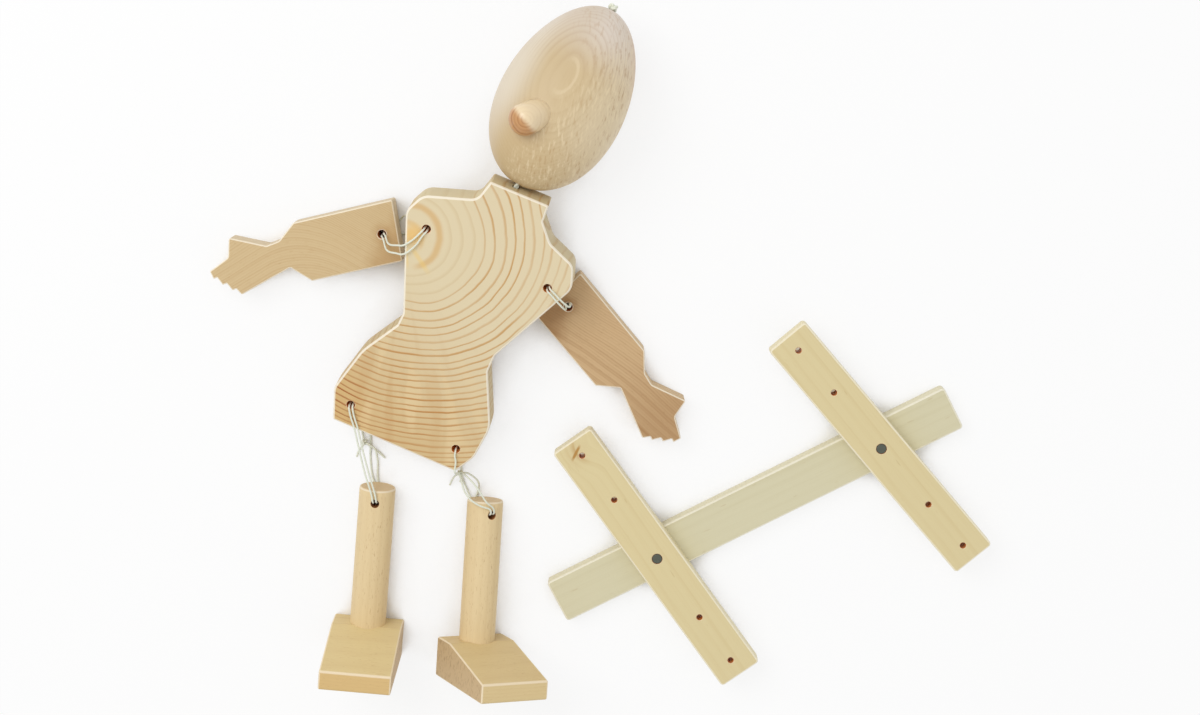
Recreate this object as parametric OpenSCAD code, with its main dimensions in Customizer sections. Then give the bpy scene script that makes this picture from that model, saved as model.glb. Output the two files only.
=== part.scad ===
// Wooden marionette laid out flat: a head with a peg nose, a slab torso, two slab arms and two
// dowel legs with wedge feet, tied together with looped cord, and beside it the hand control,
// a long bar that carries two pivoting crossbars. X is to the right, Y towards the head, Z up.
// Everything rests on the plane z = 0. Sizes are in millimetres.

/* [Torso] */
// Thickness of the torso board
torso_t = 14; // [12:0.5:15]
// How far the torso's neck end is propped up, in degrees
torso_lift = 10.5; // [10:0.1:11]
// Diameter of the drilled cord holes
hole_d = 3.5; // [3.5:0.1:4]
// Diameter of the blind hole in the neck
neck_hole_d = 3.6; // [3.2:0.1:4]

/* [Arms] */
// Thickness of the arm boards
arm_t = 11.5; // [10:0.5:11.5]
// Slope of each arm, whose shoulder end lies on a cord, in degrees
arm_tilt = 1; // [0.9:0.1:1.1]

/* [Head] */
// Length of the egg-shaped head from neck to crown
head_l = 78; // [76:1:79]
// Diameter of the head half way up
head_d = 50.4; // [48:0.4:50.4]
// How much narrower the crown's half is than an even egg, as a share of the diameter
head_egg = 0.09; // [0:0.01:0.1]
// Diameter of the peg nose
nose_d = 12.5; // [10:0.5:14]
// Length of the nose outside the head
nose_l = 9; // [8:0.5:14]

/* [Legs and feet] */
// Diameter of the leg dowels
leg_d = 15; // [14.5:0.1:15]
// Length of the leg outside the foot
leg_l = 59.5; // [50:0.5:65]
// Width of a foot
foot_w = 29.5; // [24:0.5:30]
// Length of a foot from heel to toe
foot_l = 47.5; // [40:0.5:48]
// Height of a foot at the heel
heel_h = 16.5; // [14:0.5:17]
// Height of a foot at the toe
toe_h = 8; // [6:0.5:10]

/* [Control] */
// Width of the three bars
bar_w = 19; // [16:0.5:20]
// Thickness of the three bars
bar_t = 8; // [6:0.5:9]
// Length of the main bar
main_l = 185; // [180:1:190]
// Length of each crossbar
cross_l = 123; // [120:1:126]
// Diameter of the steel pivot pins
pin_d = 4.2; // [4:0.1:5]
// Diameter of the string holes in the crossbars
string_hole_d = 2.5; // [2:0.1:3.5]

/* [Cord] */
// Diameter of the tying cord
cord_d = 0.8; // [0.7:0.05:1.1]
// Diameter of the cord that holds the head
neck_cord_d = 2; // [1.6:0.1:2.2]
// Diameter of the knots in the ties
knot_d = 3; // [2.6:0.1:3.8]

/* [Hidden] */
$fn = 48;

// Where each piece lies: the place of its own origin, then its turn about X, Y and Z
torso_pos = [-85.5, -36.1, 1.3];
torso_turn = [torso_lift, 0, -23.8];
left_arm_pos = [-90, 49, 1.3];
left_arm_turn = [0, arm_tilt, 192.9];
right_arm_pos = [-14.8, 19.3, 1.3];
right_arm_turn = [0, arm_tilt, -50.6];
head_pos = [-15.6, 104.75, 25.21];
head_turn = [-99, 0, -28.9];
left_leg_pos = [-94.4, -57.2, 8.97];
left_leg_turn = [1.1, 0, -5.3];
right_leg_pos = [-49.6, -63, 8];
right_leg_turn = [-5.1, 0, -3.8];
right_leg_roll = 27;
control_pos = [-19.8, -107.9, 0];
control_turn = 27;

// Places on the pieces, in each piece's own frame
left_shoulder = [-22.3, 92];
right_shoulder = [31, 89.5];
left_hip = [-23, 9.2];
right_hip = [23.7, 9.5];
neck_hole = [3.6, 120.6];
neck_hole_l = 14;
ankle_l = 10;
leg_hole = [0, -5.5];
foot_flat = 13;
nose_base = [-8, -22.7, -15];
nose_dir = [-0.47, -0.61, -0.64];
nose_bury = 10;
pin_places = [47, 150.5];
cross_turns = [-54.8, -49.7];
string_holes = [31, 54];
bar_corner_r = 1.5;

// Clearances in radius: a peg in its hole, a pin in a crossbar, a knot over its hole
peg_gap = 0.03;
pivot_gap = 0.06;
knot_gap = 0.06;

// Outlines as [x, y, corner radius], counterclockwise
torso_outline = [[-27.5, 0, 1], [27.2, 0, 2], [32, 9, 10], [33.2, 24, 14], [22.8, 46.5, 4], [22.8, 54, 4],
    [40.2, 93, 7], [36.8, 102.3, 5], [24.8, 107, 6], [18.7, 114, 0.8], [18.2, 121, 0.8], [-6.3, 120.5, 0.8],
    [-8.6, 111.6, 5], [-28.8, 104.2, 7], [-32.6, 95.6, 6], [-17.9, 55.3, 3], [-18.2, 49.6, 0.8],
    [-27.3, 33.4, 22], [-32.1, 13.4, 7]];
arm_outline = [[-5.5, -12.5, 0.8], [32.5, -12.3, 0.8], [39.8, -5, 1], [62, -11.5, 0.8], [63.6, -8.6, 0.3],
    [65.2, -8.9, 0.3], [66.8, -5.6, 0.3], [68.6, -5.8, 0.3], [70, -2.4, 0.3], [71.6, -2.6, 0.3],
    [72.3, 0.8, 0.5], [63.5, 4.6, 2], [61.2, 12.4, 0.8], [47, 5.8, 2], [41.5, 6.6, 3],
    [34, 12.5, 1.5], [-7.5, 12.7, 0.8]];

function unit(v) = v / norm(v);
function xy(p) = [p.x, p.y];
function bend(p, a, b, r, n = 5) = let (
        u = unit(a - p),
        v = unit(b - p),
        half = acos(u * v) / 2,
        c = p + unit(u + v) * r / sin(half),
        from = p + u * r / tan(half),
        to = p + v * r / tan(half))
    [for (k = [0 : n]) c + r * unit((1 - k / n) * (from - c) + k / n * (to - c))];
function rounded(o) = let (n = len(o))
    [for (i = [0 : n - 1]) each bend(xy(o[i]), xy(o[(i + n - 1) % n]), xy(o[(i + 1) % n]), o[i][2])];
function box_outline(x0, y0, x1, y1, r) = rounded([[x0, y0, r], [x1, y0, r], [x1, y1, r], [x0, y1, r]]);

// The same turns as rotate(), for points that a cord's route takes from a piece
function turn_x(p, a) = [p.x, p.y * cos(a) - p.z * sin(a), p.y * sin(a) + p.z * cos(a)];
function turn_y(p, a) = [p.x * cos(a) + p.z * sin(a), p.y, p.z * cos(a) - p.x * sin(a)];
function turn_z(p, a) = [p.x * cos(a) - p.y * sin(a), p.x * sin(a) + p.y * cos(a), p.z];
function placed(p, pos, a) = pos + turn_z(turn_y(turn_x(p, a.x), a.y), a.z);
function torso_at(p) = placed(p, torso_pos, torso_turn);
function left_arm_at(p) = placed([p.x, -p.y, p.z], left_arm_pos, left_arm_turn);
function right_arm_at(p) = placed(p, right_arm_pos, right_arm_turn);
function head_at(p) = placed(p, head_pos, head_turn);
function left_leg_at(p) = placed(p, left_leg_pos, left_leg_turn);
function right_leg_at(p) = placed(turn_y(p, right_leg_roll), right_leg_pos, right_leg_turn);

// A strand's way through a board's hole from its back at z0 to its front at z1: it comes from the
// direction a, leaves in the direction b, and runs side millimetres beside the hole's middle.
// A flat end also lies along the face for a moment.
function beside(hole, d, off, side, z) =
    [hole.x + off * cos(d) - side * sin(d), hole.y + off * sin(d) + side * cos(d), z];
function through(hole, z0, z1, a, b, side, flat_back = false, flat_front = true) = [
    if (flat_back) beside(hole, a, 2.3, side, z0 - 0.75),
    beside(hole, a, 1.15, side, z0 - 0.7),
    beside(hole, a, 0.45, side, z0 + 0.5),
    beside(hole, a, 0.35, side, z0 + 2),
    beside(hole, b, 0.35, side, z1 - 2),
    beside(hole, b, 0.45, side, z1 - 0.5),
    beside(hole, b, 1.15, side, z1 + 0.7),
    if (flat_front) beside(hole, b, 2.3, side, z1 + 0.85)];
function front_to_back(list) = [for (i = [len(list) - 1 : -1 : 0]) list[i]];

// Each tie is one cord that goes twice through both holes. Its two ends meet in a knot.
strand = 0.72;
left_shoulder_pass = [for (s = [strand, -strand])
    [for (p = through(left_shoulder, 0, torso_t, -150, -112, s)) torso_at(p)]];
left_arm_pass = [for (s = [-strand, strand])
    [for (p = through([0, 0], 0, arm_t, 178, -125, s, true, false)) left_arm_at(p)]];
left_shoulder_knot_at = [-77, 51.5, 8.5];
left_shoulder_route = [
    left_shoulder_knot_at + [0.8, 0.2, 0.8],
    [-73.6, 53, 13.8],
    each left_shoulder_pass[0],
    torso_at([-23.6, 84.6, 14.9]),
    torso_at([-27.2, 78.6, 14.9]),
    torso_at([-29.6, 77.2, 12.6]),
    [-87.6, 43.6, 20],
    each front_to_back(left_arm_pass[1]),
    [-86.5, 48.4, 0.6],
    [-83.2, 47.5, 0.6],
    [-81, 48.3, 2],
    [-77.5, 50.2, 3],
    [-74.4, 53.4, 6],
    [-73, 56.6, 12],
    each left_shoulder_pass[1],
    torso_at([-25.8, 85.6, 14.9]),
    torso_at([-28.3, 82.2, 14.9]),
    torso_at([-30.4, 80.6, 13]),
    [-87, 46.3, 20],
    each front_to_back(left_arm_pass[0]),
    [-86, 51.5, 0.6],
    [-83.6, 53.8, 0.8],
    [-82, 55.4, 4],
    [-79.6, 55.8, 8],
    left_shoulder_knot_at + [-0.4, 0.9, 0.4]];
left_shoulder_tails = [[[-76.5, 50.5, 6], [-75.5, 48, 2.5], [-74, 45, 0.6]],
    [[-78.5, 53, 6], [-80, 54.5, 2.5], [-79, 58, 0.6]]];

right_shoulder_pass = [for (s = [strand, -strand])
    [for (p = through(right_shoulder, 0, torso_t, -40, -20, s)) torso_at(p)]];
right_arm_pass = [for (s = [-strand, strand])
    [for (p = through([0, 0], 0, arm_t, 170, 145, s, true, false)) right_arm_at(p)]];
right_shoulder_knot_at = [-22.6, 26.6, 9];
right_shoulder_route = [
    right_shoulder_knot_at + [-0.2, 0.8, 0.8],
    [-23, 29.6, 13.4],
    each right_shoulder_pass[1],
    torso_at([37.2, 86, 15]),
    torso_at([40, 84.4, 13.8]),
    [-15.6, 20.8, 19],
    each front_to_back(right_arm_pass[1]),
    [-20.2, 23, 0.6],
    [-22, 25.6, 1.6],
    [-21, 28.6, 3.4],
    [-19.6, 31, 8],
    [-19.8, 32, 13],
    each right_shoulder_pass[0],
    torso_at([37.4, 87.6, 15]),
    torso_at([40.7, 86, 13.8]),
    [-13.6, 21.6, 19],
    each front_to_back(right_arm_pass[0]),
    [-18.8, 24.6, 0.55],
    [-19, 26.4, 3],
    right_shoulder_knot_at + [0.9, 0.2, -0.4]];
right_shoulder_tails = [[[-24, 28.5, 5], [-26, 30.5, 2], [-29, 31.5, 0.6]],
    [[-24.5, 26, 5], [-27, 25.5, 2], [-30, 26, 0.6]]];

left_hip_pass = [for (s = [strand, -strand])
    [for (p = through(left_hip, 0, torso_t, -60, -60, s, true)) torso_at(p)]];
left_leg_pass = [for (s = [-strand, strand])
    [for (p = through(leg_hole, -leg_d / 2, leg_d / 2, 100, 100, s, true)) left_leg_at(p)]];
left_hip_knot_at = [-100.4, -39.8, 1.8];
left_hip_route = [
    left_hip_knot_at + [-0.3, 0.9, -0.4],
    [-101.4, -35.5, 0.55],
    [-101.8, -32, 0.58],
    [-102.2, -28.8, 0.62],
    each left_hip_pass[1],
    [-102.6, -31, 16.6],
    [-101.2, -38, 16.7],
    [-98.6, -50, 17],
    each front_to_back(left_leg_pass[1]),
    [-97.2, -56, 0.6],
    [-98.2, -47, 0.55],
    [-98, -36.5, 0.55],
    [-98.6, -33.4, 0.58],
    [-99.5, -29.9, 0.62],
    each left_hip_pass[0],
    [-101.2, -31, 16.6],
    [-99.8, -38, 16.7],
    [-97, -50, 17],
    each front_to_back(left_leg_pass[0]),
    [-95.2, -56, 0.6],
    [-95.2, -47.5, 0.8],
    [-96.2, -42.6, 2],
    left_hip_knot_at + [0.9, -0.3, 0.4]];
left_hip_tails = [[[-98.6, -41, 2.2], [-95.5, -43.5, 1.2], [-92, -47, 0.6]],
    [[-100.8, -41, 2], [-102.5, -43, 1], [-104, -46.5, 0.6]]];

right_hip_pass = [for (p = through(right_hip, 0, torso_t, -75, -75, 0, true)) torso_at(p)];
right_leg_pass = [for (s = [-strand, strand])
    [for (p = through(leg_hole, -leg_d / 2, leg_d / 2, 112, 100, s, true)) right_leg_at(p)]];
right_hip_knot_at = [-60, -51.4, 9];
right_hip_route = [
    right_hip_knot_at + [-0.6, 0.9, 0.5],
    [-60.5, -50.3, 13.6],
    torso_at([27.5, -0.2, 14.9]),
    torso_at([25.6, 5, 14.9]),
    each front_to_back(right_hip_pass),
    [-60, -46.4, 0.65],
    [-60, -50, 0.6],
    [-60, -54, 0.62],
    [-57.6, -61, 0.8],
    each right_leg_pass[1],
    [-51, -63.6, 17.2],
    [-55, -61.4, 16],
    [-57.6, -58.4, 14.5],
    [-59.2, -54.6, 11.5],
    right_hip_knot_at + [0.2, -0.8, -0.2],
    [-58, -51.8, 7],
    [-55, -53.6, 5.4],
    [-52.8, -56.6, 3.4],
    [-52.8, -60.6, 1.2],
    [-54, -64, 0.8],
    each right_leg_pass[0],
    [-48.6, -62, 17.2],
    [-52.5, -56.4, 15.2],
    [-57, -52.4, 11.4],
    right_hip_knot_at + [0.6, 0.6, 0.6]];
right_hip_tails = [[[-61, -52.2, 8], [-63, -54.5, 4], [-65, -58.6, 0.8]],
    [[-59.6, -52.4, 7.6], [-59.4, -54.6, 5.5], [-60.4, -56.4, 4]]];

neck_route = [
    torso_at([neck_hole.x, neck_hole.y - neck_hole_l + 0.5, torso_t / 2]),
    torso_at([neck_hole.x, neck_hole.y - 5, torso_t / 2]),
    torso_at([neck_hole.x, neck_hole.y - 0.5, torso_t / 2]),
    head_at([0, 0, -head_l / 2 + 1.5]),
    head_at([0, 0, -head_l / 2 + 6]),
    head_at([0, 0, 0]),
    head_at([0, 0, head_l / 2 - 1.5])];

// A smooth line through a route's points, cut into steps of at most about the given length
function heading(p, i) = i == 0 ? unit(p[1] - p[0])
    : i == len(p) - 1 ? unit(p[i] - p[i - 1])
    : let (g = norm(p[i] - p[i - 1]), h = norm(p[i + 1] - p[i]))
        ((p[i] - p[i - 1]) * h / g + (p[i + 1] - p[i]) * g / h) / (g + h);
function between(p, i, t) = let (h = norm(p[i + 1] - p[i]))
    p[i] * (2 * t * t * t - 3 * t * t + 1) + h * heading(p, i) * (t * t * t - 2 * t * t + t)
    + p[i + 1] * (3 * t * t - 2 * t * t * t) + h * heading(p, i + 1) * (t * t * t - t * t);
function smooth_line(p, step) = [
    for (i = [0 : len(p) - 2])
        let (n = max(1, round(norm(p[i + 1] - p[i]) / step)))
        for (k = [0 : n - 1]) between(p, i, k / n),
    p[len(p) - 1]];
function aim(l, i) = unit(l[min(i + 1, len(l) - 1)] - l[max(i - 1, 0)]);
function squared(u, d) = unit(u - d * (u * d));
function ups(l) = [for (i = 0, u = squared([0.3, 0.2, 0.9], aim(l, 0)); i < len(l);
    i = i + 1, u = i < len(l) ? squared(u, aim(l, i)) : u) u];

// A round tube of eight sides along a line, one ring to each of its points
module tube(line, d) {
    sides = 8;
    n = len(line);
    u = ups(line);
    points = [for (i = [0 : n - 1], k = [0 : sides - 1])
        line[i] + d / 2 * (cos(k * 360 / sides) * u[i] + sin(k * 360 / sides) * cross(aim(line, i), u[i]))];
    walls = [for (i = [0 : n - 2], k = [0 : sides - 1])
        let (a = i * sides + k, b = i * sides + (k + 1) % sides)
        each [[a, a + sides, b + sides], [a, b + sides, b]]];
    last = (n - 1) * sides;
    caps = [for (k = [1 : sides - 2]) each [[0, k, k + 1], [last, last + k + 1, last + k]]];
    polyhedron(points, concat(walls, caps));
}

cord_step = 3.3;
tail_step = 2;

module tie_cord(route) {
    color("honeydew") tube(smooth_line(route, cord_step), cord_d);
}

module tie_knot(at, tails) {
    color("honeydew") union() {
        translate(at) sphere(d = knot_d, $fn = 32);
        for (tail = tails) tube(smooth_line(concat([at + 0.3 * (tail[0] - at)], tail), tail_step), cord_d);
    }
}

module torso() {
    color("wheat") translate(torso_pos) rotate(torso_turn) difference() {
        linear_extrude(torso_t) polygon(rounded(torso_outline));
        for (h = [left_shoulder, right_shoulder, left_hip, right_hip])
            translate([h.x, h.y, -1]) cylinder(d = hole_d, h = torso_t + 2);
        translate([neck_hole.x, neck_hole.y - neck_hole_l, torso_t / 2])
            rotate([-90, 0, 0]) cylinder(d = neck_hole_d, h = neck_hole_l + 2);
    }
}

module arm() {
    difference() {
        linear_extrude(arm_t) polygon(rounded(arm_outline));
        translate([0, 0, -1]) cylinder(d = hole_d, h = arm_t + 2);
    }
}

module left_arm() {
    color("tan") translate(left_arm_pos) rotate(left_arm_turn) mirror([0, 1, 0]) arm();
}

module right_arm() {
    color("peru") translate(right_arm_pos) rotate(right_arm_turn) arm();
}

// The head is an egg of revolution about its own Z, bored through for the neck cord, with a blind
// hole for the nose. The nose's own Z is tipped over to its direction on the head.
module toward(dir) {
    rotate([0, acos(dir.z / norm(dir)), atan2(dir.y, dir.x)]) children();
}

module head() {
    slice_angle = 3;
    side = [for (a = [-90 : slice_angle : 90])
        [head_d / 2 * cos(a) * (1 - head_egg * sin(a)), head_l / 2 * sin(a)]];
    color("bisque") translate(head_pos) rotate(head_turn) difference() {
        rotate_extrude($fn = 96) polygon(side);
        cylinder(d = neck_hole_d, h = head_l + 2, center = true);
        translate(nose_base) toward(nose_dir) translate([0, 0, -nose_bury - 0.5])
            cylinder(r = nose_d / 2 + peg_gap, h = nose_bury + 8);
    }
}

module nose() {
    tip_r = 5;
    color("burlywood") translate(head_pos) rotate(head_turn) translate(nose_base) toward(nose_dir)
        translate([0, 0, -nose_bury]) rotate_extrude() polygon(concat(
            [[0, 0], [nose_d / 2, 0]],
            [for (a = [0 : 15 : 90])
                [nose_d / 2 - tip_r + tip_r * cos(a), nose_bury + nose_l - tip_r + tip_r * sin(a)]],
            [[0, nose_bury + nose_l + 0.3]]));
}

module neck_cord() {
    color("honeydew") tube(smooth_line(neck_route, 4), neck_cord_d);
}

module neck_knot() {
    neck_knot_d = 4.4;
    rim = head_l / 2 * sqrt(1 - pow(neck_hole_d / head_d / (1 - head_egg), 2));
    rise = sqrt(pow(neck_knot_d / 2, 2) - pow(neck_hole_d / 2, 2)) + knot_gap;
    color("honeydew") translate(head_pos) rotate(head_turn)
        translate([0, 0, rim + rise]) sphere(d = neck_knot_d, $fn = 32);
}

// A leg hangs along its own -Y with its front towards +Z. Its lower end sits in the foot.
module leg() {
    difference() {
        translate([0, -leg_l - ankle_l, 0]) rotate([-90, 0, 0]) cylinder(d = leg_d, h = leg_l + ankle_l);
        translate([leg_hole.x, leg_hole.y, -leg_d]) cylinder(d = hole_d, h = 2 * leg_d);
    }
}

module foot() {
    heel = -leg_d / 2;
    profile = [[heel, 0, 1], [heel, -heel_h, 1], [heel + foot_l, -heel_h, 1],
        [heel + foot_l, toe_h - heel_h, 1], [heel + foot_flat, 0, 1]];
    difference() {
        translate([-foot_w / 2, -leg_l, 0]) rotate([0, -90, 180]) mirror([0, 1, 0])
            linear_extrude(foot_w) polygon(rounded(profile));
        translate([0, -leg_l - ankle_l, 0]) rotate([-90, 0, 0])
            cylinder(r = leg_d / 2 + peg_gap, h = ankle_l + 2);
    }
}

module on_left_leg() {
    translate(left_leg_pos) rotate(left_leg_turn) children();
}

module on_right_leg() {
    translate(right_leg_pos) rotate(right_leg_turn) rotate([0, right_leg_roll, 0]) children();
}

module left_leg() {
    color("burlywood") on_left_leg() leg();
}

module right_leg() {
    color("burlywood") on_right_leg() leg();
}

module left_foot() {
    color("wheat") on_left_leg() foot();
}

module right_foot() {
    color("wheat") on_right_leg() foot();
}

module left_shoulder_cord() {
    tie_cord(left_shoulder_route);
}

module left_shoulder_knot() {
    tie_knot(left_shoulder_knot_at, left_shoulder_tails);
}

module right_shoulder_cord() {
    tie_cord(right_shoulder_route);
}

module right_shoulder_knot() {
    tie_knot(right_shoulder_knot_at, right_shoulder_tails);
}

module left_hip_cord() {
    tie_cord(left_hip_route);
}

module left_hip_knot() {
    tie_knot(left_hip_knot_at, left_hip_tails);
}

module right_hip_cord() {
    tie_cord(right_hip_route);
}

module right_hip_knot() {
    tie_knot(right_hip_knot_at, right_hip_tails);
}

// The control's own frame has X along the main bar, with 0 at its left end
module on_control() {
    translate(control_pos) rotate([0, 0, control_turn]) children();
}

module control_bar() {
    color("palegoldenrod") on_control() difference() {
        linear_extrude(bar_t) polygon(box_outline(0, -bar_w / 2, main_l, bar_w / 2, bar_corner_r));
        for (x = pin_places) translate([x, 0, -1]) cylinder(d = pin_d, h = bar_t + 2);
    }
}

module crossbar(i) {
    color("khaki") on_control() translate([pin_places[i], 0, bar_t])
        rotate([0, 0, cross_turns[i] - control_turn]) difference() {
            linear_extrude(bar_t)
                polygon(box_outline(-cross_l / 2, -bar_w / 2, cross_l / 2, bar_w / 2, bar_corner_r));
            translate([0, 0, -1]) cylinder(r = pin_d / 2 + pivot_gap, h = bar_t + 2);
            for (x = string_holes, s = [-1, 1])
                translate([s * x, 0, -1]) cylinder(d = string_hole_d, h = bar_t + 2);
        }
}

module pin(i) {
    color("slategray") on_control() translate([pin_places[i], 0, 0.5])
        cylinder(d = pin_d, h = 2 * bar_t - 0.5);
}

module front_crossbar() {
    crossbar(0);
}

module rear_crossbar() {
    crossbar(1);
}

module front_pin() {
    pin(0);
}

module rear_pin() {
    pin(1);
}

torso();
head();
nose();
neck_cord();
neck_knot();
left_arm();
right_arm();
left_leg();
right_leg();
left_foot();
right_foot();
left_shoulder_cord();
left_shoulder_knot();
right_shoulder_cord();
right_shoulder_knot();
left_hip_cord();
left_hip_knot();
right_hip_cord();
right_hip_knot();
control_bar();
front_crossbar();
rear_crossbar();
front_pin();
rear_pin();
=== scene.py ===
from math import acos, cos, pi, radians, sin, tan

import bmesh
import bpy
from mathutils import Euler, Matrix, Vector


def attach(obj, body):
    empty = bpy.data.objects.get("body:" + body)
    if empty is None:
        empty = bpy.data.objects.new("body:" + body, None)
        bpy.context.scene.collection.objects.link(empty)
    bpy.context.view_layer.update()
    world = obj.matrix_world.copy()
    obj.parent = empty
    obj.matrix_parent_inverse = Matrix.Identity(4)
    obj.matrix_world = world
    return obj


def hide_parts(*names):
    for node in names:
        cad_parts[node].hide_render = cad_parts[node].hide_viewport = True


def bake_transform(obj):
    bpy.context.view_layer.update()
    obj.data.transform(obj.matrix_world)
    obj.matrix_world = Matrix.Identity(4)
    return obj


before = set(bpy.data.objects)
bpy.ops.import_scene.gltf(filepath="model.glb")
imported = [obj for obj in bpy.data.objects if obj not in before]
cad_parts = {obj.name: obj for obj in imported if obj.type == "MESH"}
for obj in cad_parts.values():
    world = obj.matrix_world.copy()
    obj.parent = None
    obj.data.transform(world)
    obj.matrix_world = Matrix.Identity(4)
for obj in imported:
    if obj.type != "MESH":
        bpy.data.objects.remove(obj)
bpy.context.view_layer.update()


# The room: a white table seen from almost straight above, in soft light from the upper left.
# The white comes from the table's and the room's own colour, and the table keeps soft shadows.
# Every node tree in this file is put together by a Bench, and sums on a Wire add Math nodes.
class Wire:
    """One value in a node tree."""

    def __init__(self, bench, socket):
        self.bench, self.socket = bench, socket

    def maths(self, operation, *others):
        return self.bench.node("ShaderNodeMath", {"operation": operation}, dict(enumerate((self, *others))))

    def __add__(self, other):
        return self.maths("ADD", other)

    def __sub__(self, other):
        return self.maths("SUBTRACT", other)

    def __rsub__(self, other):
        return self.bench.node("ShaderNodeMath", {"operation": "SUBTRACT"}, {0: other, 1: self})

    def __mul__(self, other):
        return self.maths("MULTIPLY", other)

    def __truediv__(self, other):
        return self.maths("DIVIDE", other)

    __radd__, __rmul__ = __add__, __mul__

    def twin(self, out):
        """Another output of the same node."""
        return Wire(self.bench, self.socket.node.outputs[out])


class Bench:
    """A node tree being put together, for a finish, the room or a Geometry Nodes modifier."""

    def __init__(self, tree):
        self.tree = tree
        tree.nodes.clear()

    def node(self, kind, settings=None, sockets=None, out=0):
        """Adds a node, sets it up, then fills its sockets with values or wires."""
        node = self.tree.nodes.new(kind)
        for key, value in (settings or {}).items():
            if key == "stops":
                ramp = node.color_ramp.elements
                for i, (place, level) in enumerate(value):
                    stop = ramp[i] if i < 2 else ramp.new(place)
                    stop.position = place
                    stop.color = (level, level, level, 1)
            elif key == "captures":
                for kind_of_value, name in value:
                    node.capture_items.new(kind_of_value, name)
            else:
                setattr(node, key, value)
        for key, value in (sockets or {}).items():
            if isinstance(value, Wire):
                self.tree.links.new(value.socket, node.inputs[key])
            else:
                node.inputs[key].default_value = value
        return Wire(self, node.outputs[out]) if node.outputs else None


def seen_directly(bench):
    """1 for what the camera sees, itself, in gloss or through glass."""
    path = bench.node("ShaderNodeLightPath", out="Is Camera Ray")
    seen = path.maths("MAXIMUM", path.twin("Is Glossy Ray"))
    return seen.maths("MAXIMUM", path.twin("Is Transmission Ray"))


def fade(value, start, end):
    """0 at the start and 1 at the end, smoothly."""
    return value.bench.node("ShaderNodeMapRange", {"interpolation_type": "SMOOTHSTEP"},
                            {0: value, 1: start, 2: end})


AMBIENT = 0.66
KEY_WATTS = 6.4
FILL_WATTS = 0.9

scene = bpy.context.scene
scene.view_settings.view_transform = "Standard"
middle = Vector((-0.0017, -0.0042, 0))
lean = radians(10.5)
camera = bpy.data.objects.new("camera", bpy.data.cameras.new("camera"))
camera.data.lens = 60
camera.data.sensor_width = 36
camera.location = middle + 0.8333 * Vector((0, sin(lean), cos(lean)))
camera.rotation_euler = (-lean, 0, 0)
scene.collection.objects.link(camera)
scene.camera = camera

world = bpy.data.worlds.new("white_room")
scene.world = world
world.use_nodes = True
bench = Bench(world.node_tree)
brightness = seen_directly(bench) * (1 - AMBIENT) + AMBIENT
background = bench.node("ShaderNodeBackground", None, {"Color": (1, 1, 1, 1), "Strength": brightness})
bench.node("ShaderNodeOutputWorld", None, {"Surface": background})

for name, place, size, watts in (
        ("key", (-0.55, 0.55, 1.0), 0.8, KEY_WATTS),
        ("fill", (0.8, -0.5, 0.7), 0.9, FILL_WATTS)):
    lamp = bpy.data.objects.new(name, bpy.data.lights.new(name, "AREA"))
    lamp.data.size = size
    lamp.data.energy = watts
    lamp.location = place
    lamp.rotation_euler = (-Vector(place)).to_track_quat("-Z", "Y").to_euler()
    scene.collection.objects.link(lamp)


def new_finish(name):
    material = bpy.data.materials.new(name)
    material.use_nodes = True
    return material, Bench(material.node_tree)


TABLE_SHADOW = 0.2
table_finish, bench = new_finish("white_table")
matt = bench.node("ShaderNodeBsdfDiffuse", None, {"Color": (0.92, 0.92, 0.92, 1)})
glow = bench.node("ShaderNodeEmission", None, {"Color": (1, 1, 1, 1), "Strength": 1.0})
uncovered = fade(bench.node("ShaderNodeAmbientOcclusion", {"samples": 8}, {"Distance": 0.06},
    out="AO"), 0.4, 0.52)
surface = bench.node("ShaderNodeMixShader", None,
                     {0: seen_directly(bench) * uncovered * (1 - TABLE_SHADOW), 1: matt, 2: glow})
bench.node("ShaderNodeOutputMaterial", None, {"Surface": surface})
table_mesh = bpy.data.meshes.new("table")
table_mesh.from_pydata([(-3, -3, 0), (3, -3, 0), (3, 3, 0), (-3, 3, 0)], [], [(0, 1, 2, 3)])
table_mesh.materials.append(table_finish)
table = bpy.data.objects.new("table", table_mesh)
scene.collection.objects.link(table)


# The torso: a slab of knotty softwood cut round a curved outline, sanded, with its edges eased.
# Four cord holes go through it and one is drilled into the neck. The tree's rings run through
# its whole thickness, round a centre beside the left shoulder's hole.
MM = 0.001
torso_t = 14
torso_pos, torso_turn = (-85.5, -36.1, 1.3), (10.5, 0, -23.8)
hole_d = 3.5
left_shoulder, right_shoulder = (-22.3, 92), (31, 89.5)
left_hip, right_hip = (-23, 9.2), (23.7, 9.5)
neck_hole, neck_hole_l, neck_hole_d = (3.6, 120.6), 14, 3.6
torso_outline = [
    (-27.5, 0, 1), (27.2, 0, 2), (32, 9, 10), (33.2, 24, 14), (22.8, 46.5, 4), (22.8, 54, 4),
    (40.2, 93, 7), (36.8, 102.3, 5), (24.8, 107, 6), (18.7, 114, 0.8), (18.2, 121, 0.8), (-6.3, 120.5, 0.8),
    (-8.6, 111.6, 5), (-28.8, 104.2, 7), (-32.6, 95.6, 6), (-17.9, 55.3, 3), (-18.2, 49.6, 0.8),
    (-27.3, 33.4, 22), (-32.1, 13.4, 7)]


def placing(pos, turn, roll=0, mirrored=False):
    """From a piece's own frame in millimetres to its place in the row frame in metres."""
    spin = Euler([radians(a) for a in turn]).to_matrix() @ Euler((0, radians(roll), 0)).to_matrix()
    flip = Matrix.Diagonal((MM, -MM if mirrored else MM, MM, 1))
    return Matrix.Translation(Vector(pos) * MM) @ spin.to_4x4() @ flip


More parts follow.
